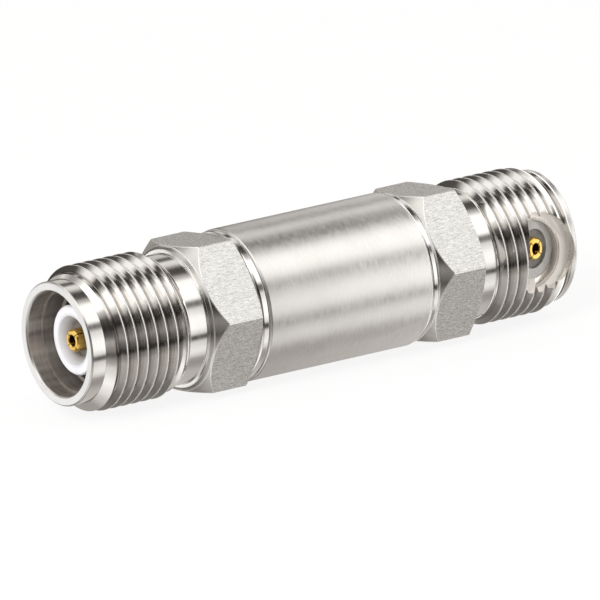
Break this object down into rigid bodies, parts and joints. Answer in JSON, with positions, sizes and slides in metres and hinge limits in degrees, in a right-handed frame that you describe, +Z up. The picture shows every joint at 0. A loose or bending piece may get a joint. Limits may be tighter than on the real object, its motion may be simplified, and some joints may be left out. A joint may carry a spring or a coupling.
{
  "type": "coaxial adapter",
  "caption": "Straight coaxial adapter with a long round sleeve, wrench hexes, threaded barrels with socket contacts and a side port.",
  "frame": {"origin": "middle of the adapter on its axis", "axes": "+X along the axis, towards the end with the side port; +Z up"},
  "size_m": [0.0438, 0.0128, 0.0118],
  "materials": {
    "steel": "turned and polished",
    "sleeve_steel": "satin turned",
    "ring_steel": "polished",
    "liner_steel": "fine turned",
    "bush_brass": "turned",
    "gold_contact": "gold plated",
    "insulator": "smooth satin",
    "seal_rubber": "matte"
  },
  "bodies": {
    "root": {"left_connector_body": "steel", "right_connector_body": "steel", "centre_sleeve": "sleeve_steel", "left_shim_ring": "ring_steel", "right_shim_ring": "ring_steel", "left_seal_ring": "seal_rubber", "right_seal_ring": "seal_rubber", "left_front_insulator": "insulator", "right_front_insulator": "insulator", "left_contact": "gold_contact", "right_contact": "gold_contact", "centre_conductor": "gold_contact", "left_support_bead": "insulator", "right_support_bead": "insulator", "left_air_line_bush": "bush_brass", "right_air_line_bush": "bush_brass", "centre_dielectric": "insulator", "side_port_liner": "liner_steel", "side_port_insulator": "insulator", "side_port_contact": "gold_contact"}
  },
  "joints": []
}
